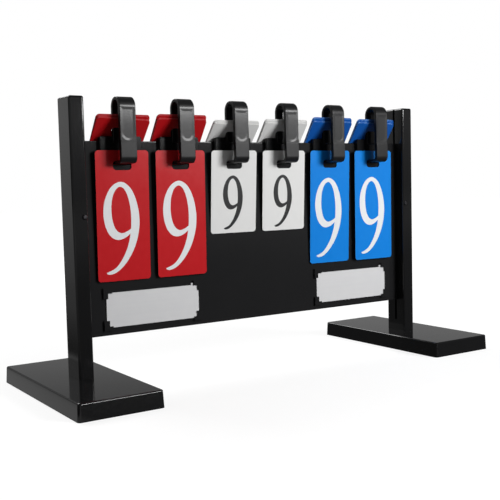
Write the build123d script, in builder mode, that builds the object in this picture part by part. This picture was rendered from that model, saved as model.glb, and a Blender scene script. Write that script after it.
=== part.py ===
"""Tabletop flip scoreboard: a board between two posts, six flip-card stations, two name cards.

Millimetres. X runs along the board, +Y points to its back, +Z up. The origin is on the
table, midway between the two feet. The score side faces -Y.

A card hangs by its slot from a hook that is bent to a closed loop. To change the score it
is lifted by its lower end, taken over the loop and laid against the board's back edge.
"""

import os
from math import atan, cos, degrees, radians, sin, tan

from build123d import *

os.makedirs("parts", exist_ok=True)

# ---- cards ---------------------------------------------------------------------------
card_width = 50.8
card_gap = 7.4              # between neighbouring cards
card_thickness = 0.22
large_card_height = 114.9
small_card_height = 78.5
card_corner_radius = 3.0
flap_height = 9.1           # strip of card above its slot
slot_width = 17.7
slot_height = 8.3
slot_corner_radius = 3.0
card_standoff = 5.0         # from the board's face to a card's back, at the slot's upper edge

# ---- board ---------------------------------------------------------------------------
board_thickness = 2.5
board_lift = 48.0           # lower edge above the table
board_edge_radius = 0.6
name_card_lift = 7.0        # above the board's lower edge
name_card_headroom = 10.2   # between a name card and the large cards
card_headroom = 8.2         # between a hanging card and the board's upper edge
end_gap = 11.0              # between the outer cards and the posts

# ---- posts and feet ------------------------------------------------------------------
post_width = 13.6           # along X
post_depth = 26.6           # along Y
post_rise = 37.2            # above the board's upper edge
post_wall = 2.2
post_edge_radius = 1.8      # stays short of the lock pin's hole
groove_depth = 6.0
groove_wall = 2.0
groove_clearance = 0.15     # per side
foot_width = 74.8           # along X, at the table
foot_depth = 178.0          # along Y, at the table
foot_height = 14.9
foot_draft = 0.9            # how far each side leans in over the foot's height
foot_wall = 2.2
foot_corner_radius = 3.0
foot_inner_radius = 0.8
foot_top_radius = 1.2
foot_outset = 1.9           # foot centre outboard of the post centre
foot_rib = 1.8
rib_lift = 2.0              # ribs stop this far above the table
socket_wall = 2.0
socket_floor = 2.5
socket_floor_lift = 3.0     # room for the screw heads above the table
socket_clearance = 0.1      # per side

# ---- lock pins through the posts and the board's ends ---------------------------------
pin_lift = 106.0            # above the board's lower edge
pin_inset = 3.3             # from the post's inner face to the pin's axis
pin_diameter = 2.4
pin_clearance = 0.1         # per side
pin_head_diameter = 4.4
pin_head_height = 1.1
pin_tail = 0.6              # rounded end that stands proud of the far face

# ---- hooks: a flat strip bent to a loop, on a base plate -------------------------------
strip_width = 15.4
strip_edge_radius = 0.6
loop_rise = 37.6            # top of the loop above the board's upper edge
loop_back = 1.75            # back of the rear leg in front of the board's face
loop_front = 19.85          # front of the front leg in front of the board's face
rear_leg_thickness = 3.4
front_leg_top_thickness = 3.8
front_leg_end_thickness = 3.2
arch_thickness = 3.0
pad_proud = 0.4             # the lower end of the front leg is this much thicker
pad_rise = 12.0             # top of the curl to the ledge above the pad
ledge_height = 1.8          # slope from the pad back to the leg's face
curl_radius = 6.0           # outside, where the front leg turns back into the tongue
curl_inner_radius = 3.4
tongue_thickness = 2.5
tongue_gap = 0.6            # between the tongue and the upper edge of a card's slot
tongue_inset = 0.9          # tip of the tongue behind the board's face
tongue_corner_radius = 2.0  # lower corners of tongue and curl, seen from the front
dish_depth = 0.12           # shallow dish down the front leg
dish_wall = 2.2             # width of its sloping wall
dish_rim = 0.9
dish_drop = 0.4             # its upper end below the arch
plate_width = 40.5
plate_thickness = 4.05
plate_rise = 4.0            # above the board's upper edge
plate_drop = 7.0            # below the tongue
plate_corner_radius = 2.0
plate_edge_chamfer = 0.8
plate_back_slope = 1.7      # bevel that leaves room for the flipped cards
leg_root_drop = 1.7         # the rear leg's root below the board's upper edge
leg_root_slope = 1.2
window_clearance = 0.6      # around the tongue in plate and board

# ---- how the cards hang, station by station -------------------------------------------
front_leans = (1.4, 1.0, 3.9, 3.1, 2.0, 0.5)        # cards on show, degrees from upright
flipped_tilts = (37.5, 36.0, 42.0, 38.0, 34.0, 34.5)  # flipped cards, degrees from upright
flipped_count = 9
flipped_gap = 0.02          # between one card and the next
flipped_rest_gap = 0.2      # between the lowest card and the board's edge
flipped_leg_gap = 0.65      # between the slots' edges and the rear leg
flipped_sway = 0.3          # how unevenly the cards lie, sideways
sway_step = 2.4             # phase from one card to the next, radians
sway_station_step = 1.3     # phase from one station to the next, radians
loose_count = 4             # lower cards of a flipped pack, which lie a little apart from the others
loose_turns = (-3.0, 0.0, -0.6, 0.6, 0.0, -0.8)  # degrees they are turned in their own plane
upper_tips = (0.3, 0.4, 0.3, 0.3, 0.4, 0.3)  # the others stand this much nearer to upright, degrees

# ---- name cards and the moulded corners that hold them ----------------------------------
name_card_width = 93.2
name_card_height = 30.9
name_card_thickness = 1.0
name_card_inset = 7.5       # outer edge inboard of the outer cards
name_card_radius = 1.5
name_tab_width = 2.0
name_tab_height = 2.1
tab_clearance = 0.3         # between the tab and the upper holder to its right
holder_side_margin = 3.0    # how far the holders stand outside the card, at the sides
upper_margin = 4.4          # the same, above the card
upper_side_lip = 1.3        # how far the upper holders reach in over the card's sides
upper_edge_lip = 0.3        # and down over its upper edge
upper_side_reach = 5.0      # length of their arms down the card's sides
upper_edge_reach = 5.5      # and along its upper edge
lower_margin = 2.6
lower_side_lip = 2.2
lower_edge_lip = 1.3
lower_side_reach = 6.4
lower_edge_reach = 5.5
holder_lip_thickness = 0.9
holder_clearance = 0.15     # around and in front of the card

# ---- screws ----------------------------------------------------------------------------
screw_diameter = 2.9
screw_pilot_diameter = 3.0
screw_clearance_diameter = 3.3
screw_head_diameter = 5.6
screw_head_height = 2.0
screw_head_radius = 0.8
recess_width = 0.8
recess_length = 3.0
recess_depth = 1.0
foot_screw_length = 14.0
foot_screw_spacing = 13.2
boss_diameter = 6.8
boss_height = 20.0
groove_floor_gap = 0.5      # between the bosses and the groove's lower end
hook_screw_length = 5.4
hook_screw_spacing = 28.0
hook_screw_rise = 5.9       # above the tongue
hook_screw_tip_gap = 0.2

# ---- sizes that follow -------------------------------------------------------------------
stations = ("home_tens", "home_ones", "home_sets", "guest_sets", "guest_tens", "guest_ones")
small_stations = ("home_sets", "guest_sets")
station_pitch = card_width + card_gap
cards_span = len(stations) * card_width + (len(stations) - 1) * card_gap

board_face = -board_thickness / 2
board_back = board_thickness / 2
name_card_bottom = board_lift + name_card_lift
name_card_top = name_card_bottom + name_card_height
name_card_outer = cards_span / 2 - name_card_inset
card_top = name_card_top + name_card_headroom + large_card_height
board_top = card_top + card_headroom
post_inner_x = cards_span / 2 + end_gap
board_width = 2 * (post_inner_x + groove_depth - groove_clearance)

post_x = post_inner_x + post_width / 2
post_top = board_top + post_rise
post_bottom = socket_floor_lift + socket_floor
groove_bottom = post_bottom + boss_height + groove_floor_gap
foot_x = post_x + foot_outset
foot_roof = foot_height - foot_wall
foot_taper = degrees(atan(foot_draft / foot_height))
pin_x = post_inner_x + pin_inset
pin_height = board_lift + pin_lift

card_back = board_face - card_standoff
slot_top = card_top - flap_height
tongue_top = slot_top - tongue_gap
tongue_bottom = tongue_top - tongue_thickness
tongue_tip = board_face + tongue_inset
rear_leg_back = board_face - loop_back
rear_leg_front = rear_leg_back - rear_leg_thickness
front_leg_front = board_face - loop_front
front_leg_back = front_leg_front + front_leg_top_thickness
loop_top = board_top + loop_rise
arch_radius = (rear_leg_back - front_leg_front) / 2
arch_y = (rear_leg_back + front_leg_front) / 2
arch_z = loop_top - arch_radius
flipped_slot_y = rear_leg_front - flipped_leg_gap
inner_arch_radius = (rear_leg_front - front_leg_back) / 2
inner_arch_y = (rear_leg_front + front_leg_back) / 2
inner_arch_z = loop_top - arch_thickness - inner_arch_radius
pad_front = front_leg_front - pad_proud
pad_back = front_leg_front + front_leg_end_thickness
curl_y = pad_front + curl_radius
curl_z = tongue_bottom + curl_radius
inner_curl_y = pad_back + curl_inner_radius
inner_curl_z = tongue_top + curl_inner_radius
pad_top = curl_z + pad_rise
ledge_top = pad_top + ledge_height
plate_front = board_face - plate_thickness
plate_top = board_top + plate_rise
plate_bottom = tongue_bottom - plate_drop
leg_root = board_top - leg_root_drop
window_width = strip_width + 2 * window_clearance
window_height = tongue_thickness + 2 * window_clearance
window_z = (tongue_top + tongue_bottom) / 2
hook_screw_z = tongue_top + hook_screw_rise

holder_depth = name_card_thickness + holder_clearance + holder_lip_thickness
foot_screw_places = [
    (side * post_x, end * foot_screw_spacing / 2) for side in (-1, 1) for end in (-1, 1)
]


def station_x(index):
    """Middle of a station along the board."""
    return (index - (len(stations) - 1) / 2) * station_pitch


hook_screw_places = [
    (station_x(index) + side * hook_screw_spacing / 2, hook_screw_z)
    for index in range(len(stations))
    for side in (-1, 1)
]


def facing_front(y):
    """Sketch plane across the depth at y: X to the right, Y up the board, normal to -Y."""
    return Plane.XZ.offset(-y)


def rectangle_between(x1, z1, x2, z2):
    """Rectangle in the open sketch from one corner to the opposite one."""
    with Locations(((x1 + x2) / 2, (z1 + z2) / 2)):
        Rectangle(abs(x2 - x1), abs(z2 - z1))


# ---- board -----------------------------------------------------------------------------
def holder_arms():
    """The two arms at each corner of both name cards, as pairs of opposite corners."""
    arms = []
    low = name_card_bottom - lower_margin
    high = name_card_top + upper_margin
    for side in (-1, 1):
        outer = side * name_card_outer
        inner = side * (name_card_outer - name_card_width)
        for x, away in ((outer, side), (inner, -side)):
            out_x = x + away * holder_side_margin
            arms.append((out_x, low, x - away * lower_side_lip, name_card_bottom + lower_side_reach))
            arms.append((out_x, low, x - away * lower_edge_reach, name_card_bottom + lower_edge_lip))
            arms.append((out_x, high, x - away * upper_side_lip, name_card_top - upper_side_reach))
            arms.append((out_x, high, x - away * upper_edge_reach, name_card_top - upper_edge_lip))
    return arms


def make_board():
    """Panel with the name card holders moulded on and holes for tongues, screws and pins."""
    with BuildPart() as board:
        with BuildSketch(facing_front(board_back)):
            rectangle_between(-board_width / 2, board_lift, board_width / 2, board_top)
        extrude(amount=board_thickness)
        fillet(board.edges().filter_by(Axis.X), board_edge_radius)
        with BuildSketch(facing_front(board_face)):
            for arm in holder_arms():
                rectangle_between(*arm)
        extrude(amount=holder_depth)
        with BuildSketch(facing_front(board_face)):
            for side in (-1, 1):
                outer = side * (name_card_outer + holder_clearance)
                inner = side * (name_card_outer - name_card_width - holder_clearance)
                rectangle_between(outer, name_card_bottom, inner, name_card_top + holder_clearance)
        extrude(amount=name_card_thickness + holder_clearance, mode=Mode.SUBTRACT)
        with BuildSketch(facing_front(board_back)):
            for index in range(len(stations)):
                with Locations((station_x(index), window_z)):
                    Rectangle(window_width, window_height)
            with Locations(*hook_screw_places):
                Circle(screw_clearance_diameter / 2)
            with Locations((-pin_x, pin_height), (pin_x, pin_height)):
                Circle(pin_diameter / 2 + pin_clearance)
        extrude(amount=board_thickness, mode=Mode.SUBTRACT)
    board.part.label = "board_panel"
    export_step(board.part, "parts/board_panel.step")


# ---- posts and feet ----------------------------------------------------------------------
def make_post(side, name):
    """Hollow post with a groove down its inner face for the board's end."""
    channel_depth = groove_depth + groove_wall
    channel_width = board_thickness + 2 * (groove_clearance + groove_wall)
    screw_places = [place for place in foot_screw_places if place[0] * side > 0]
    with BuildPart() as post:
        with BuildSketch(Plane.XY.offset(post_bottom)):
            with Locations((side * post_x, 0)):
                RectangleRounded(post_width, post_depth, post_edge_radius)
        extrude(amount=post_top - post_bottom)
        fillet(post.faces().sort_by(Axis.Z)[-1].edges(), post_edge_radius)
        with BuildSketch(Plane.XY.offset(post_bottom)):
            with Locations((side * post_x, 0)):
                Rectangle(post_width - 2 * post_wall, post_depth - 2 * post_wall)
            with Locations((side * (post_inner_x + channel_depth / 2), 0)):
                Rectangle(channel_depth, channel_width, mode=Mode.SUBTRACT)
        extrude(amount=post_top - post_wall - post_bottom, mode=Mode.SUBTRACT)
        with BuildSketch(Plane.XY.offset(groove_bottom)):
            with Locations((side * (post_inner_x + groove_depth / 2), 0)):
                Rectangle(groove_depth, board_thickness + 2 * groove_clearance)
        extrude(amount=post_top - groove_bottom, mode=Mode.SUBTRACT)
        with BuildSketch(Plane.XY.offset(post_bottom)):
            with Locations(*screw_places):
                Circle(boss_diameter / 2)
        extrude(amount=boss_height)
        with BuildSketch(Plane.XY.offset(post_bottom)):
            with Locations(*screw_places):
                Circle(screw_pilot_diameter / 2)
        extrude(amount=boss_height, mode=Mode.SUBTRACT)
        with BuildSketch(facing_front(post_depth / 2)):
            with Locations((side * pin_x, pin_height)):
                Circle(pin_diameter / 2 + pin_clearance)
        extrude(amount=post_depth, mode=Mode.SUBTRACT)
    post.part.label = name
    export_step(post.part, f"parts/{name}.step")


def make_foot(side, name):
    """Drafted foot moulded as an open shell, with a socket for the post and two ribs."""
    centre = (side * foot_x, 0)
    socket_centre = (side * post_x, 0)
    socket_x = post_width + 2 * socket_clearance
    socket_y = post_depth + 2 * socket_clearance
    screw_places = [place for place in foot_screw_places if place[0] * side > 0]
    with BuildPart() as foot:
        with BuildSketch(Plane.XY):
            with Locations(centre):
                RectangleRounded(foot_width, foot_depth, foot_corner_radius)
        extrude(amount=foot_height, taper=foot_taper)
        fillet(foot.faces().sort_by(Axis.Z)[-1].edges(), foot_top_radius)
        with BuildSketch(Plane.XY):
            with Locations(centre):
                RectangleRounded(foot_width - 2 * foot_wall, foot_depth - 2 * foot_wall, foot_inner_radius)
        extrude(amount=foot_roof, taper=foot_taper, mode=Mode.SUBTRACT)
        with BuildSketch(Plane.XY.offset(rib_lift)):
            with Locations(centre):
                Rectangle(foot_width - 2 * foot_wall, foot_rib)
                Rectangle(foot_rib, foot_depth - 2 * foot_wall)
        extrude(amount=foot_roof - rib_lift)
        with BuildSketch(Plane.XY):
            with Locations(socket_centre):
                Rectangle(socket_x + 2 * socket_wall, socket_y + 2 * socket_wall)
        extrude(amount=foot_roof)
        with BuildSketch(Plane.XY):
            with Locations(socket_centre):
                Rectangle(socket_x, socket_y)
        extrude(amount=socket_floor_lift, mode=Mode.SUBTRACT)
        with BuildSketch(Plane.XY.offset(post_bottom)):
            with Locations(socket_centre):
                RectangleRounded(socket_x, socket_y, post_edge_radius)
        extrude(amount=foot_height - post_bottom, mode=Mode.SUBTRACT)
        with BuildSketch(Plane.XY.offset(socket_floor_lift)):
            with Locations(*screw_places):
                Circle(screw_clearance_diameter / 2)
        extrude(amount=socket_floor, mode=Mode.SUBTRACT)
    foot.part.label = name
    export_step(foot.part, f"parts/{name}.step")


# ---- fasteners -----------------------------------------------------------------------------
def make_screws(plane, places, length, name):
    """Cross-recessed pan head screws: shanks along the plane's normal, heads behind it."""
    with BuildPart() as screws:
        with BuildSketch(plane):
            with Locations(*places):
                Circle(screw_head_diameter / 2)
        extrude(amount=-screw_head_height)
        crowns = screws.faces().filter_by(plane).sort_by(Axis(plane.origin, plane.z_dir))
        fillet(crowns[: len(places)].edges(), screw_head_radius)
        with BuildSketch(plane.offset(-screw_head_height)):
            with Locations(*places):
                Rectangle(recess_length, recess_width)
                Rectangle(recess_width, recess_length)
        extrude(amount=recess_depth, mode=Mode.SUBTRACT)
        with BuildSketch(plane):
            with Locations(*places):
                Circle(screw_diameter / 2)
        extrude(amount=length)
    screws.part.label = name
    export_step(screws.part, f"parts/{name}.step")


def make_lock_pin(side, name):
    """Push-in pin with a domed head in front and a rounded end behind."""
    with BuildPart() as pin:
        with BuildSketch(facing_front(-post_depth / 2)):
            with Locations((side * pin_x, pin_height)):
                Circle(pin_head_diameter / 2)
        extrude(amount=pin_head_height)
        fillet(pin.faces().sort_by(Axis.Y)[0].edges(), pin_head_height * 0.9)
        with BuildSketch(facing_front(-post_depth / 2)):
            with Locations((side * pin_x, pin_height)):
                Circle(pin_diameter / 2)
        extrude(amount=-(post_depth + pin_tail))
        fillet(pin.faces().sort_by(Axis.Y)[-1].edges(), pin_tail * 0.9)
    pin.part.label = name
    export_step(pin.part, f"parts/{name}.step")


# ---- hooks ---------------------------------------------------------------------------------
def bend_strip(x):
    """The strip alone: up from its root, over the arch, down, round and back as the tongue."""
    dish_width = strip_width - 2 * dish_rim
    dish_top = arch_z - dish_drop
    dish_middle = ledge_top + dish_width / 2
    dish_taper = degrees(atan(dish_wall / dish_depth))
    with BuildPart() as strip:
        with BuildSketch(Plane(origin=(x - strip_width / 2, 0, 0), x_dir=(0, 1, 0), z_dir=(1, 0, 0))):
            with BuildLine():
                Line((rear_leg_back, leg_root), (rear_leg_back, arch_z))
                CenterArc((arch_y, arch_z), arch_radius, 0, 180)
                Polyline(
                    (front_leg_front, arch_z),
                    (front_leg_front, ledge_top),
                    (pad_front, pad_top),
                    (pad_front, curl_z),
                )
                CenterArc((curl_y, curl_z), curl_radius, 180, 90)
                Polyline(
                    (curl_y, tongue_bottom),
                    (tongue_tip, tongue_bottom),
                    (tongue_tip, tongue_top),
                    (inner_curl_y, tongue_top),
                )
                CenterArc((inner_curl_y, inner_curl_z), curl_inner_radius, 180, 90)
                Line((pad_back, inner_curl_z), (front_leg_back, inner_arch_z))
                CenterArc((inner_arch_y, inner_arch_z), inner_arch_radius, 0, 180)
                Polyline(
                    (rear_leg_front, inner_arch_z),
                    (rear_leg_front, leg_root + leg_root_slope),
                    (plate_front, leg_root),
                    (rear_leg_back, leg_root),
                )
            make_face()
        extrude(amount=strip_width)
        fillet(strip.faces().filter_by(Axis.X).edges(), strip_edge_radius)
        with BuildSketch(facing_front(front_leg_front)):
            rectangle_between(x - dish_width / 2, dish_middle, x + dish_width / 2, dish_top)
            with Locations((x, dish_middle)):
                Circle(dish_width / 2)
        extrude(amount=-dish_depth, taper=dish_taper, mode=Mode.SUBTRACT)
        with BuildSketch(facing_front(tongue_tip)):
            rectangle_between(
                x - strip_width / 2,
                tongue_bottom,
                x + strip_width / 2,
                tongue_bottom + tongue_corner_radius,
            )
            with Locations((x, tongue_bottom + strip_width / 2)):
                RectangleRounded(strip_width, strip_width, tongue_corner_radius, mode=Mode.SUBTRACT)
        extrude(amount=tongue_tip - pad_front, mode=Mode.SUBTRACT)
    return strip.part


def make_hook(index, name):
    """Base plate with the strip that rises from it."""
    x = station_x(index)
    screw_places = [place for place in hook_screw_places if abs(place[0] - x) < card_width / 2]
    with BuildPart() as hook:
        with BuildSketch(facing_front(board_face)):
            with Locations((x, (plate_top + plate_bottom) / 2)):
                RectangleRounded(plate_width, plate_top - plate_bottom, plate_corner_radius)
        extrude(amount=plate_thickness)
        chamfer(hook.faces().sort_by(Axis.Y)[0].edges(), plate_edge_chamfer)
        with BuildSketch(Plane(origin=(x - plate_width / 2, 0, 0), x_dir=(0, 1, 0), z_dir=(1, 0, 0))):
            with BuildLine():
                Polyline(
                    (board_face, plate_top),
                    (board_face - plate_back_slope, plate_top),
                    (board_face, plate_top - plate_back_slope),
                    close=True,
                )
            make_face()
        extrude(amount=plate_width, mode=Mode.SUBTRACT)
        with BuildSketch(facing_front(board_face)):
            with Locations((x, window_z)):
                Rectangle(window_width, window_height)
        extrude(amount=plate_thickness, mode=Mode.SUBTRACT)
        with BuildSketch(facing_front(board_face)):
            with Locations(*screw_places):
                Circle(screw_pilot_diameter / 2)
        extrude(amount=hook_screw_length - board_thickness + hook_screw_tip_gap, mode=Mode.SUBTRACT)
        add(bend_strip(x))
    hook.part.label = name
    export_step(hook.part, f"parts/{name}.step")


# ---- cards ---------------------------------------------------------------------------------
def card_height(name):
    """Height of a station's cards."""
    return small_card_height if name in small_stations else large_card_height


def card_outline(place, height):
    """Card in the open sketch, with the middle of its slot's upper edge at the given place."""
    with Locations(place):
        with Locations((0, flap_height - height / 2)):
            RectangleRounded(card_width, height, card_corner_radius)
        with Locations((0, -slot_height / 2)):
            RectangleRounded(slot_width, slot_height, slot_corner_radius, mode=Mode.SUBTRACT)


def hanging_plane(y, z, tilt):
    """Sketch plane of a card whose slot's upper edge is at (y, z), leaning back by tilt degrees."""
    return Plane(origin=(0, y, z), x_dir=(1, 0, 0), z_dir=(0, -cos(radians(tilt)), -sin(radians(tilt))))


def make_front_card(index, name):
    """The card on show, hanging from the hook's tongue with its lower end towards the board."""
    with BuildPart() as card:
        with BuildSketch(hanging_plane(card_back, slot_top, front_leans[index])):
            card_outline(Location((station_x(index), 0, 0)), card_height(stations[index]))
        extrude(amount=card_thickness)
    card.part.label = name
    export_step(card.part, f"parts/{name}.step")


def flipped_place(index, step):
    """Height of the slot's upper edge on the outer face of one flipped card, and the card's tilt.

    The pack leans on the board's rounded rear edge, and every card hangs by its slot from
    the front of the rear leg, so each card sits straight above the one below it. The upper
    ones touch the lower ones at their far ends and stand off from them at the slots.
    """
    tilt = radians(flipped_tilts[index])
    edge_y = board_back - board_edge_radius
    edge_z = board_top - board_edge_radius
    stack = step * (card_thickness + flipped_gap) + card_thickness
    height = board_edge_radius + flipped_rest_gap + stack
    slot_z = edge_z + (height - (flipped_slot_y - edge_y) * cos(tilt)) / sin(tilt)
    if step < loose_count:
        return slot_z, tilt
    hanging = card_height(stations[index]) - flap_height
    steeper = tilt - radians(upper_tips[index])
    return slot_z + hanging * (sin(tilt) / tan(steeper) - cos(tilt)), steeper


def make_flipped_cards(index, name):
    """The cards already flipped over the loop, the lowest one first."""
    with BuildPart() as pack:
        for step in range(flipped_count):
            z, tilt = flipped_place(index, step)
            x = station_x(index) + flipped_sway * sin(sway_step * step + sway_station_step * index)
            turn = loose_turns[index] if step < loose_count else 0
            with BuildSketch(hanging_plane(flipped_slot_y, z, degrees(tilt))):
                card_outline(Location((x, 0, 0), (0, 0, turn)), card_height(stations[index]))
            extrude(amount=card_thickness)
    pack.part.label = name
    export_step(pack.part, f"parts/{name}.step")


def make_name_card(side, name):
    """Blank card in its four corner holders, with a tab that stops it from sliding."""
    left = side * name_card_outer if side < 0 else name_card_outer - name_card_width
    right = left + name_card_width
    tab_x = right - upper_edge_reach - tab_clearance - name_tab_width / 2
    with BuildPart() as card:
        with BuildSketch(facing_front(board_face)):
            with Locations(((left + right) / 2, (name_card_bottom + name_card_top) / 2)):
                RectangleRounded(name_card_width, name_card_height, name_card_radius)
            with Locations((tab_x, name_card_top)):
                Rectangle(name_tab_width, 2 * name_tab_height)
        extrude(amount=name_card_thickness)
    card.part.label = name
    export_step(card.part, f"parts/{name}.step")


make_board()
for side, word in ((-1, "left"), (1, "right")):
    make_post(side, f"post_{word}")
    make_foot(side, f"foot_{word}")
    make_lock_pin(side, f"lock_pin_{word}")
    make_name_card(side, f"name_card_{word}")
for index, station in enumerate(stations):
    make_hook(index, f"hook_{station}")
    make_front_card(index, f"front_card_{station}")
    make_flipped_cards(index, f"flipped_cards_{station}")
make_screws(Plane.XY.offset(socket_floor_lift), foot_screw_places, foot_screw_length, "foot_screws")
make_screws(facing_front(board_back), hook_screw_places, hook_screw_length, "hook_screws")
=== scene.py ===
"""Looks of the tabletop flip scoreboard: its plastics, printed sheets, numerals, light and camera.

Metres, in the frame of the CAD model: X along the board, +Y to its back, Z up.
"""

import math

import bpy
import numpy as np
from mathutils import Matrix


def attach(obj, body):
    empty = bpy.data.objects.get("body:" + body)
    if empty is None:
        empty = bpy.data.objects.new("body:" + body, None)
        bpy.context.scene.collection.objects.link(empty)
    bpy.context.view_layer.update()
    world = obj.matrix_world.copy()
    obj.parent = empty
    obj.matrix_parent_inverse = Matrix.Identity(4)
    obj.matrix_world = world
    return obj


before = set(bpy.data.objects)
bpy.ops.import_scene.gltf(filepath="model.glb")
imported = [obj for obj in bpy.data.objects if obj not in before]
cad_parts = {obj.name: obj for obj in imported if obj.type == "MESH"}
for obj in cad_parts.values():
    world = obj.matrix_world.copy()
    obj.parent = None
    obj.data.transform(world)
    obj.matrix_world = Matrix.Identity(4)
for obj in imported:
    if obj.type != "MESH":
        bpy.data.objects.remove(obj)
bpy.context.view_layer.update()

# ---- numbers of the CAD model, in millimetres and degrees --------------------------------------
MM = 0.001
STATIONS = ("home_tens", "home_ones", "home_sets", "guest_sets", "guest_tens", "guest_ones")
SMALL = ("home_sets", "guest_sets")
STATION_PITCH = 58.2
STATION_X = [(index - 2.5) * STATION_PITCH for index in range(6)]
# how far each card on show, and each flipped pack, stands off upright, its lower end to the back
FRONT_LEANS = (1.4, 1.0, 3.9, 3.1, 2.0, 0.5)
FLIPPED_TILTS = (37.5, 36.0, 42.0, 38.0, 34.0, 34.5)
# where the cards on show hang: y of the reverse side at the slot, z of the slot's upper edge
CARD_BACK = -6.25
SLOT_EDGE = 201.9
SHEET = 0.22


# ---- colours and nodes -------------------------------------------------------------------------
def linear(colour):
    """An sRGB hex value such as "1b1c1e" as linear red, green, blue, alpha."""
    parts = [int(colour[place : place + 2], 16) / 255 for place in (0, 2, 4)]
    return [c / 12.92 if c <= 0.04045 else ((c + 0.055) / 1.055) ** 2.4 for c in parts] + [1.0]


def add(tree, kind, inputs=None, **settings):
    """Adds one node. inputs gives each socket a value, or another node's output to link to."""
    made = tree.nodes.new(kind)
    for name, value in settings.items():
        setattr(made, name, value)
    for socket, value in (inputs or {}).items():
        if isinstance(value, bpy.types.NodeSocket):
            tree.links.new(value, made.inputs[socket])
        else:
            made.inputs[socket].default_value = value
    return made


def object_place(tree):
    """The place on the object, in metres."""
    return add(tree, "ShaderNodeTexCoord").outputs["Object"]


def axes_of(tree, vector):
    """A vector's parts, by the names X, Y and Z."""
    return add(tree, "ShaderNodeSeparateXYZ", {"Vector": vector}).outputs


def noise(tree, place, scale, detail):
    """Soft noise from 0 to 1, with scale lumps to the metre."""
    inputs = {"Vector": place, "Scale": scale, "Detail": detail}
    return add(tree, "ShaderNodeTexNoise", inputs).outputs["Fac"]


def between(tree, value, low, high, first, last):
    """Goes from first to last while value goes from low to high, and no further."""
    inputs = {"Value": value, 1: low, 2: high, 3: first, 4: last}
    return add(tree, "ShaderNodeMapRange", inputs).outputs[0]


def calculate(tree, operation, *values, clamp=False):
    """One sum on numbers, kept between 0 and 1 if clamp is set."""
    inputs = dict(enumerate(values))
    return add(tree, "ShaderNodeMath", inputs, operation=operation, use_clamp=clamp).outputs[0]


def blend(tree, share, first, second, kind="MIX"):
    """The first colour where share is 0 and the second where it is 1."""
    inputs = {0: share, 6: first, 7: second}
    return add(tree, "ShaderNodeMix", inputs, data_type="RGBA", blend_type=kind).outputs[2]


def ramp(tree, value, stops):
    """Greys by value: each stop is a place from 0 to 1 and a grey level."""
    node = add(tree, "ShaderNodeValToRGB", {"Fac": value})
    elements = node.color_ramp.elements
    while len(elements) < len(stops):
        elements.new(1.0)
    for element, (place, grey) in zip(elements, stops):
        element.position = place
        element.color = (grey, grey, grey, 1.0)
    return node.outputs[0]


def bump(tree, height, strength, millimetres, normal=None):
    """A normal bent by a height of that many millimetres, on top of another bent normal if given."""
    inputs = {"Height": height, "Strength": strength, "Distance": millimetres * MM}
    if normal is not None:
        inputs["Normal"] = normal
    return add(tree, "ShaderNodeBump", inputs).outputs[0]


def glow(tree, colour, strength=1.0):
    """A surface that gives light and takes none."""
    return add(tree, "ShaderNodeEmission", {"Color": colour, "Strength": strength}).outputs[0]


def matt(tree, colour):
    """A surface without gloss."""
    return add(tree, "ShaderNodeBsdfDiffuse", {"Color": linear(colour)}).outputs[0]


def close(tree, shader):
    """Makes this shader the material's surface."""
    add(tree, "ShaderNodeOutputMaterial", {"Surface": shader})


def close_with_principled(tree, inputs):
    """Makes a Principled shader with these inputs the material's surface."""
    close(tree, add(tree, "ShaderNodeBsdfPrincipled", inputs).outputs[0])


def new_material(name):
    """An empty node material and its tree."""
    material = bpy.data.materials.new(name)
    material.use_nodes = True
    material.node_tree.nodes.clear()
    return material, material.node_tree


# ---- materials ---------------------------------------------------------------------------------
PEEL_HEIGHT = 0.01  # millimetres, of the finest unevenness of plastic, print and plating
SCUFF = 0.03  # how much rougher a hairline is
DUST = "8d8b86"
POLISH_FRONT, POLISH_BACK = -0.008, -0.0065  # y between which a mould's polish fades in


def moulded_abs(name, colour, roughness, level, coat, marks, dust, polish=1.0):
    """Injection-moulded ABS: even colour, faint flow marks from the gate, hairlines and some dust.

    colour gives two close tones and level the strength of the mirror. marks is the height in
    millimetres of the slow waviness that bends reflections, and dust is how much paler the
    upward faces are. polish scales the roughness of whatever lies behind POLISH_BACK, which
    on a hook is its base plate and its rear leg.
    """
    material, tree = new_material(name)
    place = object_place(tree)
    # flow marks are long and low, about 40 mm apart
    flow = noise(tree, place, 24.0, 2.0)
    # fine orange peel, about 1.5 mm across
    peel = noise(tree, place, 650.0, 3.0)
    # handling leaves hairlines, 1 to 2 mm apart and about 30 mm long
    hair_way = {"Vector": place, "Rotation": (0.3, 0.5, 0.2), "Scale": (30.0, 900.0, 420.0)}
    hairs = noise(tree, add(tree, "ShaderNodeMapping", hair_way).outputs[0], 1.0, 5.0)
    lines = ramp(tree, hairs, [(0.60, 0.0), (0.72, 1.0)])
    # dust settles in specks of about 1 mm
    motes = ramp(tree, noise(tree, place, 900.0, 4.0), [(0.62, 0.0), (0.78, 1.0)])
    up = axes_of(tree, add(tree, "ShaderNodeNewGeometry").outputs["Normal"])["Z"]
    settled = calculate(tree, "MULTIPLY", up, motes, clamp=True)
    dusty = calculate(tree, "MULTIPLY", settled, dust)
    tone = blend(tree, flow, linear(colour[0]), linear(colour[1]))
    coated = blend(tree, dusty, tone, linear(DUST))
    rough = between(tree, peel, 0.0, 1.0, roughness - 0.03, roughness + 0.05)
    scuffed = calculate(tree, "MULTIPLY_ADD", lines, SCUFF, rough)
    near = between(tree, axes_of(tree, place)["Y"], POLISH_FRONT, POLISH_BACK, 1.0, polish)
    inputs = {
        "Base Color": coated,
        "Roughness": calculate(tree, "MULTIPLY", scuffed, near),
        "IOR": 1.54,
        "Specular IOR Level": level,
        "Coat Weight": coat,
        "Coat Roughness": 0.1,
        "Normal": bump(tree, peel, 0.25, PEEL_HEIGHT, bump(tree, flow, 1.0, marks)),
    }
    close_with_principled(tree, inputs)
    return material


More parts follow.
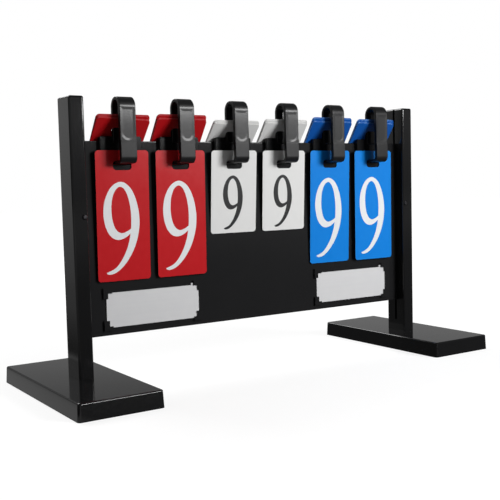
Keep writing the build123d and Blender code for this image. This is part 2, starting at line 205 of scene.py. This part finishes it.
def printed_sheet(name, colour, tilt, reverse, centre):
    """Rigid PVC sheet, offset printed: solid ink on both faces over a white core that its cut edges show.

    colour gives two tones of ink in front, two on the reverse, and the cut edge; the cut edge's colour is
    partly the white core and partly a painted highlight for the light that the edges of a stack catch. tilt
    is how far the sheet stands off upright, its lower end to the back; reverse is 1 if the reverse side
    faces the back and -1 if it faces the front; centre is the middle of the station in
    millimetres. The ink has a faint mottle, and the sheet bows a little across its width.
    """
    material, tree = new_material(name)
    coordinates = add(tree, "ShaderNodeTexCoord")
    place = coordinates.outputs["Object"]
    lean = math.radians(tilt)
    # 1 on the face to the back, -1 on the face to the front, near 0 on the cut edges
    sides = {0: coordinates.outputs["Normal"], 1: (0.0, math.cos(lean), math.sin(lean))}
    facing = add(tree, "ShaderNodeVectorMath", sides, operation="DOT_PRODUCT").outputs["Value"]
    # the cut edges are where the edge colour goes: partly the white core, partly a painted highlight
    cut = ramp(tree, calculate(tree, "ABSOLUTE", facing), [(0.35, 1.0), (0.65, 0.0)])
    turned = calculate(tree, "MULTIPLY", facing, reverse, clamp=True)
    # ink mottle, about 5 mm across, and the print's fine grain at about 0.4 mm
    mottle = noise(tree, place, 180.0, 4.0)
    grain = noise(tree, place, 2400.0, 2.0)
    shown = blend(tree, mottle, linear(colour[0]), linear(colour[1]))
    under = blend(tree, mottle, linear(colour[2]), linear(colour[3]))
    # the cut edges take a colour that is partly the white core and partly a painted highlight
    edged_core_and_highlight = blend(tree, cut, blend(tree, turned, shown, under), linear(colour[4]))
    # the bow bends reflections over some 60 mm, in the same way on every card
    centred = add(tree, "ShaderNodeMapping", {"Vector": place, "Location": (-centre * MM, 0.0, 0.0)})
    bow = bump(tree, noise(tree, centred.outputs[0], 16.0, 1.0), 1.0, 1.2)
    inputs = {
        "Base Color": edged_core_and_highlight,
        "Roughness": between(tree, mottle, 0.0, 1.0, 0.16, 0.22),
        "IOR": 1.53,
        "Specular IOR Level": 0.3,
        "Normal": bump(tree, grain, 0.2, PEEL_HEIGHT, bow),
    }
    close_with_principled(tree, inputs)
    return material


def printing_ink(name, colour):
    """Screen-printed ink in two close tones: satin, with the pattern of the screen in it."""
    material, tree = new_material(name)
    place = object_place(tree)
    mottle = noise(tree, place, 300.0, 4.0)
    # the mesh of the screen, drawn at 0.5 mm so that it can show
    mesh = add(tree, "ShaderNodeTexVoronoi", {"Vector": place, "Scale": 2000.0, "Randomness": 0.3})
    inputs = {
        "Base Color": blend(tree, mottle, linear(colour[0]), linear(colour[1])),
        "Roughness": between(tree, mottle, 0.0, 1.0, 0.40, 0.52),
        "IOR": 1.5,
        "Specular IOR Level": 0.3,
        "Normal": bump(tree, mesh.outputs["Distance"], 0.15, PEEL_HEIGHT),
    }
    close_with_principled(tree, inputs)
    return material


def writing_board(name, colour):
    """Extruded polypropylene sheet with a matt tooth to write on: faint mottle and die lines."""
    material, tree = new_material(name)
    place = object_place(tree)
    # mottle of about 10 mm, and a tooth of about 0.5 mm
    mottle = noise(tree, place, 90.0, 5.0)
    tooth = noise(tree, place, 1800.0, 2.0)
    # die lines run along the sheet, about 2 mm apart
    drawn = add(tree, "ShaderNodeMapping", {"Vector": place, "Scale": (6.0, 6.0, 500.0)})
    lines = noise(tree, drawn.outputs[0], 1.0, 3.0)
    mixed = calculate(tree, "MULTIPLY", mottle, lines)
    inputs = {
        "Base Color": blend(tree, mixed, linear(colour[0]), linear(colour[1])),
        "Roughness": between(tree, tooth, 0.0, 1.0, 0.48, 0.62),
        "IOR": 1.49,
        "Normal": bump(tree, tooth, 0.4, 0.02),
    }
    close_with_principled(tree, inputs)
    return material


def plated_steel(name, colour, roughness):
    """Steel with a thin plated or blackened skin: clouded tone and a fine grain."""
    material, tree = new_material(name)
    place = object_place(tree)
    # clouds of about 2 mm, and a grain of about 0.3 mm
    cloud = noise(tree, place, 500.0, 4.0)
    grain = noise(tree, place, 3500.0, 2.0)
    inputs = {
        "Base Color": blend(tree, cloud, linear(colour[0]), linear(colour[1])),
        "Metallic": 1.0,
        "Roughness": between(tree, cloud, 0.0, 1.0, roughness - 0.06, roughness + 0.08),
        "Normal": bump(tree, grain, 0.3, PEEL_HEIGHT),
    }
    close_with_principled(tree, inputs)
    return material


def finish_with(material, *names):
    """Gives these CAD nodes one material."""
    for name in names:
        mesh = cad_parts[name].data
        mesh.materials.clear()
        mesh.materials.append(material)


# polished-mould ABS mirrors softly; the hooks come from a blasted mould and are satin
board_look = {"roughness": 0.07, "level": 0.35, "coat": 0.0, "marks": 0.03, "dust": 0.02}
frame_look = {"roughness": 0.09, "level": 0.5, "coat": 0.0, "marks": 0.03, "dust": 0.04}
hook_look = {"roughness": 0.40, "level": 0.16, "coat": 0.15, "marks": 0.02, "dust": 0.04, "polish": 0.3}
board_abs = moulded_abs("glossy_black_abs_board", ("1b1b1c", "1f1f20"), **board_look)
frame_abs = moulded_abs("glossy_black_abs_frame", ("0e0e0f", "121213"), **frame_look)
hook_abs = moulded_abs("satin_black_abs_hooks", ("151516", "1a1a1b"), **hook_look)
finish_with(board_abs, "board_panel")
finish_with(frame_abs, "post_left", "post_right", "foot_left", "foot_right")
finish_with(hook_abs, *[f"hook_{station}" for station in STATIONS])
pin_steel = plated_steel("blackened_steel_pin", ("2b2b2d", "3a393b"), 0.36)
finish_with(pin_steel, "lock_pin_left", "lock_pin_right")
screw_steel = plated_steel("zinc_plated_steel_screw", ("8d9093", "a8aaac"), 0.30)
finish_with(screw_steel, "foot_screws", "hook_screws")
name_sheet = writing_board("matt_polypropylene_name_card", ("c8c8ca", "d2d2d2"))
finish_with(name_sheet, "name_card_left", "name_card_right")

# two tones of ink in front, two on the reverse, and the cut edge, whose colour mixes the white core with a
# painted highlight along the edges
RED = ("b71a20", "bf1e24", "b41319", "ba171d", "c66a6e")
WHITE = ("dadad9", "dededd", "dadad9", "dededd", "e2e2e0")
BLUE = ("1079d2", "147fd8", "124f9f", "1656a8", "86b2e2")
INKS = (RED, RED, WHITE, WHITE, BLUE, BLUE)
for index, station in enumerate(STATIONS):
    ink, centre = INKS[index], STATION_X[index]
    shown_card = printed_sheet(f"printed_pvc_shown_{station}", ink, FRONT_LEANS[index], 1.0, centre)
    finish_with(shown_card, f"front_card_{station}")
    flipped_card = printed_sheet(f"printed_pvc_flipped_{station}", ink, FLIPPED_TILTS[index], -1.0, centre)
    finish_with(flipped_card, f"flipped_cards_{station}")


# ---- numerals ----------------------------------------------------------------------------------
# The 9 is one broad stroke. Each row gives its outer and inner edge, in millimetres across the
# large card from its middle and down from the slot's upper edge.
NINE_STROKE = (
    (8.9, 62.6, 9.4, 58.1),
    (5.7, 65.3, 6.6, 60.7),
    (2.0, 67.9, 2.5, 63.1),
    (-1.9, 69.5, -1.7, 64.2),
    (-6.0, 69.9, -4.6, 63.4),
    (-10.5, 68.3, -7.2, 61.2),
    (-14.6, 64.0, -9.4, 57.1),
    (-17.4, 57.7, -10.9, 51.2),
    (-18.9, 50.3, -11.5, 45.0),
    (-19.0, 43.2, -11.3, 39.1),
    (-17.9, 36.2, -10.6, 34.1),
    (-15.5, 29.8, -9.2, 29.8),
    (-12.2, 24.6, -7.3, 26.3),
    (-7.9, 20.8, -5.0, 24.1),
    (-2.2, 19.0, -2.3, 23.3),
    (3.3, 20.9, 0.5, 24.8),
    (7.7, 25.3, 3.2, 28.8),
    (11.2, 31.8, 5.3, 34.7),
    (13.7, 39.6, 6.7, 42.0),
    (15.1, 47.9, 7.3, 50.0),
    (15.3, 56.2, 7.1, 58.2),
    (14.2, 64.7, 6.1, 66.2),
    (11.8, 73.2, 4.2, 74.0),
    (8.2, 81.3, 1.2, 81.5),
    (3.4, 88.6, -2.7, 88.2),
    (-2.5, 94.9, -7.2, 93.5),
    (-8.5, 98.9, -11.7, 96.4),
    (-13.9, 100.2, -15.4, 97.8),
    (-17.0, 99.4, -17.2, 98.2),
)
NINE_TOP = 19.0  # the stroke's highest point, down from the slot's upper edge
NINE_STEPS = 4  # from one row to the next
NINE_COLUMNS = 4  # from the outer edge to the inner, both counted
THIN_HEIGHT = 0.02  # millimetres that the stroke's start stands proud
MORE_HEIGHT = 0.01  # millimetres that it gains over the share THIN_END of its length
THIN_END = 0.12
SUNK = 0.01  # millimetres that the ink's underside lies in the sheet
TAIL_START, TAIL_LENGTH = 0.9, 0.1  # shares of the stroke's length
TAIL_GROWTH = 2  # how many times bold the tail's end grows further


def in_scene(name, data):
    """New object with this data, in the scene."""
    made = bpy.data.objects.new(name, data)
    bpy.context.scene.collection.objects.link(made)
    return made


def smooth_rows(rows, steps):
    """Rows of numbers joined by Catmull-Rom curves, steps to a span, as one array."""
    rows = np.asarray(rows, dtype=float)
    ends = np.vstack([2 * rows[0] - rows[1], rows, 2 * rows[-1] - rows[-2]])
    t = (np.arange((len(rows) - 1) * steps + 1) / steps)[:, None]
    span = np.minimum(t.astype(int)[:, 0], len(rows) - 2)
    t = t - span[:, None]
    a, b, c, d = (ends[span + shift] for shift in range(4))
    return 0.5 * (2 * b + (c - a) * t + (2 * a - 5 * b + 4 * c - d) * t**2 + (3 * b - a - 3 * c + d) * t**3)


def sheet_point(index, across, down, proud):
    """Places on a shown card's printed face: across from its middle, down from its slot, proud of it."""
    lean = math.radians(FRONT_LEANS[index])
    depth = SHEET + proud
    x = STATION_X[index] + across
    y = CARD_BACK + down * math.sin(lean) - depth * math.cos(lean)
    z = SLOT_EDGE - down * math.cos(lean) - depth * math.sin(lean)
    return np.stack([x, y, z], axis=-1) * MM


def closed_skin(name, upper, lower):
    """Mesh of a thin solid between two grids of points, with walls round their rim."""
    rows, columns, _ = upper.shape
    points = np.concatenate([upper.reshape(-1, 3), lower.reshape(-1, 3)])
    grid = np.arange(rows * columns).reshape(rows, columns)
    below = grid + rows * columns
    one, two, three, four = np.s_[:-1, :-1], np.s_[:-1, 1:], np.s_[1:, 1:], np.s_[1:, :-1]
    top_faces = np.stack([grid[one], grid[two], grid[three], grid[four]], axis=-1).reshape(-1, 4)
    low_faces = np.stack([below[one], below[four], below[three], below[two]], axis=-1).reshape(-1, 4)
    rim = np.concatenate([grid[0, :], grid[1:, -1], grid[-1, -2::-1], grid[-2:0:-1, 0]])
    after = np.roll(rim, -1)
    walls = np.stack([after, rim, rim + rows * columns, after + rows * columns], axis=-1)
    mesh = bpy.data.meshes.new(name)
    mesh.from_pydata(points.tolist(), [], np.concatenate([top_faces, low_faces, walls]).tolist())
    return mesh


def numeral_nine(index, material, size, top, bold):
    """Ink of a 9: point(u, v) = (1 - v) outer edge(u) + v inner edge(u), raised off the sheet.

    size scales the stroke across and down, and top is how far its highest point lies below the
    slot's upper edge. v runs from -bold to 1 + bold, so that a bolder stroke grows to both
    sides; at the free end of the tail it grows three times as much.

    The ink stands 0.03 mm proud, less where the bowl's thin end runs into the stem, and its
    underside is sunk into the sheet.
    """
    station = STATIONS[index]
    edges = smooth_rows(NINE_STROKE, NINE_STEPS)
    u = np.linspace(0.0, 1.0, len(edges))[:, None]
    v = np.linspace(0.0, 1.0, NINE_COLUMNS)
    tail = np.clip((u - TAIL_START) / TAIL_LENGTH, 0.0, 1.0)
    v = v + bold * (1 + TAIL_GROWTH * tail) * (2 * v - 1)
    across = ((1 - v) * edges[:, 0:1] + v * edges[:, 2:3]) * size[0]
    down = top + ((1 - v) * edges[:, 1:2] + v * edges[:, 3:4] - NINE_TOP) * size[1]
    proud = THIN_HEIGHT + MORE_HEIGHT * np.clip(u / THIN_END, 0.0, 1.0) + 0 * v
    upper = sheet_point(index, across, down, proud)
    lower = sheet_point(index, across, down, 0 * proud - SUNK)
    mesh = closed_skin(f"numeral_{station}", upper, lower)
    mesh.materials.append(material)
    mesh.update()
    numeral = in_scene(f"numeral_{station}", mesh)
    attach(numeral, f"card_{station}")


white_ink = printing_ink("white_screen_ink", ("dadcde", "e0e2e4"))
charcoal_ink = printing_ink("charcoal_screen_ink", ("151517", "1b1b1d"))
for index, station in enumerate(STATIONS):
    if station in SMALL:
        numeral_nine(index, charcoal_ink, size=(0.632, 0.630), top=14.7, bold=0.06)
    else:
        numeral_nine(index, white_ink, size=(1.0, 1.0), top=18.5, bold=0.0)


# ---- floor, surroundings and light -------------------------------------------------------------
WHITE_TO_CAMERA = "ffffff"
ROOM_TO_LIGHT = "747474"
FLOOR_TO_LIGHT = "6a6a6a"
FLOOR_UNDER_SHADOW = "8c8c8c"
HALF_FLOOR = 6.0
# Each row is a place from 0 to 1 and the grey that the gloss sees there: of the table from its left
# end to its right, and of the room in front and the cove behind from below level to high up.
TABLE = ((0.0, 0.22), (0.5, 0.16), (0.635, 0.04), (0.65, 0.36), (0.67, 0.38), (0.69, 0.08), (1.0, 0.08))
ROOM = ((0.0, 0.03), (0.13, 0.09), (0.20, 0.14), (0.24, 0.20), (0.28, 0.30), (0.45, 0.10), (1.0, 0.08))
COVE = ((0.0, 0.05), (0.20, 0.06), (0.30, 0.10), (0.34, 0.36), (0.38, 0.30), (0.44, 0.18), (1.0, 0.15))


def four_sided(name, corners):
    """Mesh of one face with these corners."""
    mesh = bpy.data.meshes.new(name)
    mesh.from_pydata([tuple(float(value) for value in corner) for corner in corners], [], [(0, 1, 2, 3)])
    return mesh


def pale_floor():
    """Square floor: white to the camera apart from the object's shadow, pale card to the light.

    To the gloss it is a table whose left end is lit and whose rest lies in the room's dark.
    """
    low, high = -HALF_FLOOR, HALF_FLOOR
    mesh = four_sided("floor", [(low, low, 0), (high, low, 0), (high, high, 0), (low, high, 0)])
    floor = in_scene("floor", mesh)
    material, tree = new_material("pale_studio_floor")
    paths = add(tree, "ShaderNodeLightPath").outputs
    place = object_place(tree)
    parts = axes_of(tree, place)
    # near the object the floor glows less and so takes its shadow, further out it is plain white
    reach = add(tree, "ShaderNodeVectorMath", {0: place}, operation="LENGTH").outputs["Value"]
    lit = glow(tree, linear(WHITE_TO_CAMERA), between(tree, reach, 0.35, 0.8, 0.8, 1.0))
    seen = add(tree, "ShaderNodeAddShader", {0: matt(tree, FLOOR_UNDER_SHADOW), 1: lit}).outputs[0]
    table = ramp(tree, between(tree, parts["X"], -0.9, 0.1, 0.0, 1.0), TABLE)
    # far off to the front its edge catches the room's light
    front = between(tree, parts["Y"], -0.8, -2.2, 0.0, 0.14)
    mirrored = glow(tree, blend(tree, 1.0, table, front, "ADD"))
    choice = {0: paths["Is Glossy Ray"], 1: matt(tree, FLOOR_TO_LIGHT), 2: mirrored}
    unseen = add(tree, "ShaderNodeMixShader", choice).outputs[0]
    choice = {0: paths["Is Camera Ray"], 1: unseen, 2: seen}
    close(tree, add(tree, "ShaderNodeMixShader", choice).outputs[0])
    mesh.materials.append(material)


def surroundings():
    """White to the camera, dim grey to the light, and a room with a paler cove behind to the gloss."""
    world = bpy.data.worlds.new("studio")
    bpy.context.scene.world = world
    world.use_nodes = True
    tree = world.node_tree
    tree.nodes.clear()
    paths = add(tree, "ShaderNodeLightPath").outputs
    way = axes_of(tree, add(tree, "ShaderNodeTexCoord").outputs["Generated"])
    behind = between(tree, way["Y"], -0.3, 0.3, 0.0, 1.0)
    height = between(tree, way["Z"], -0.2, 0.8, 0.0, 1.0)
    gloss = blend(tree, behind, ramp(tree, height, ROOM), ramp(tree, height, COVE))
    fill = blend(tree, paths["Is Glossy Ray"], linear(ROOM_TO_LIGHT), gloss)
    shown = blend(tree, paths["Is Camera Ray"], fill, linear(WHITE_TO_CAMERA))
    back = add(tree, "ShaderNodeBackground", {"Color": shown, "Strength": 1.0})
    add(tree, "ShaderNodeOutputWorld", {"Surface": back.outputs[0]})


def reflector():
    """White card that stands beyond the left post and shows in the posts' left sides only."""
    centre = np.array([-0.516, 0.860])
    half_width = np.array([0.835, 0.549]) * 0.082
    left, right = centre - half_width, centre + half_width
    top = 0.62
    mesh = four_sided("reflector", [(*left, 0.0), (*right, 0.0), (*right, top), (*left, top)])
    card = in_scene("reflector", mesh)
    material, tree = new_material("white_reflector_card")
    height = between(tree, axes_of(tree, object_place(tree))["Z"], 0.0, top, 0.0, 1.0)
    close(tree, glow(tree, ramp(tree, height, [(0.0, 0.20), (0.5, 0.48), (1.0, 0.48)])))
    mesh.materials.append(material)
    card.visible_camera = False
    card.visible_diffuse = False
    card.visible_shadow = False


def axes_at(azimuth, elevation, roll=0.0):
    """Right, up and back of what stands at that azimuth and elevation and looks at the object.

    Degrees; azimuth is 0 in front and 90 to the right.
    """
    turn, rise, lean = (math.radians(angle) for angle in (azimuth, elevation, roll))
    back = np.array([math.sin(turn) * math.cos(rise), -math.cos(turn) * math.cos(rise), math.sin(rise)])
    level = np.array([math.cos(turn), math.sin(turn), 0.0])
    upright = np.cross(back, level)
    right = level * math.cos(lean) + upright * math.sin(lean)
    up = upright * math.cos(lean) - level * math.sin(lean)
    return right, up, back


def stand(name, data, axes, place):
    """Lamp or camera with this data at that place; the last of its axes points away from its view."""
    made = in_scene(name, data)
    columns = np.column_stack([*axes, place])
    made.matrix_world = Matrix(np.vstack([columns, [0, 0, 0, 1]]).tolist())
    return made


def softbox(name, azimuth, elevation, distance, size, power, target=(0.0, 0.0, 0.15)):
    """Area lamp, wide by high, in metres and watts, that faces the target."""
    axes = axes_at(azimuth, elevation)
    data = bpy.data.lights.new(name, "AREA")
    data.shape = "RECTANGLE"
    data.size, data.size_y = size
    data.energy = power
    return stand(name, data, axes, np.array(target) + axes[2] * distance)


def shine_only(lamp, receivers):
    """Takes a lamp out of the diffuse light, and lets only these objects mirror it."""
    lamp.visible_diffuse = False
    group = bpy.data.collections.new(f"{lamp.name}_receivers")
    for receiver in receivers:
        group.objects.link(receiver)
    lamp.light_linking.receiver_collection = group


def aim_camera():
    """Camera 33.3 degrees to the left of square on and a little above the board's middle."""
    data = bpy.data.cameras.new("camera")
    data.lens = 61.23
    data.sensor_width = 36.0
    data.clip_start = 0.01
    axes = axes_at(azimuth=-33.31, elevation=4.32, roll=-1.41)
    bpy.context.scene.camera = stand("camera", data, axes, (-0.46499, -0.69304, 0.17720))


pale_floor()
surroundings()
reflector()
KEY = {"azimuth": 28, "elevation": 17, "size": (0.42, 0.28), "power": 12.4}
LOW_STRIP = {"azimuth": 24, "elevation": 2, "size": (0.42, 0.06), "power": 4.0}
KEY_LOWER_EDGE = {"azimuth": 28, "elevation": 17, "size": (0.42, 0.04), "power": 1.9}
key = softbox("key", distance=1.1, **KEY)
key.visible_glossy = False
# Flat tops would mirror the key as white patches, so the feet mirror a low strip instead, and the
# posts the key's lower edge. The key and the lamps that copy it stand a few millimetres apart,
# because of two lamps in one plane rays find only the first.
feet = [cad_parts["foot_left"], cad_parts["foot_right"]]
posts = [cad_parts["post_left"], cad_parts["post_right"]]
others = [each for each in bpy.context.scene.objects if each.type == "MESH" and each not in feet + posts]
shine_only(softbox("key_shine", distance=1.097, **KEY), others)
left_foot = (-0.19, -0.089, 0.015)
shine_only(softbox("foot_shine", distance=1.1, target=left_foot, **LOW_STRIP), feet)
below_key = (0.0172, -0.0323, 0.0305)
shine_only(softbox("post_shine", distance=1.094, target=below_key, **KEY_LOWER_EDGE), posts)
softbox("rear", azimuth=195, elevation=42, distance=1.4, size=(0.8, 0.8), power=15.0)
aim_camera()
bpy.context.scene.view_settings.view_transform = "Standard"
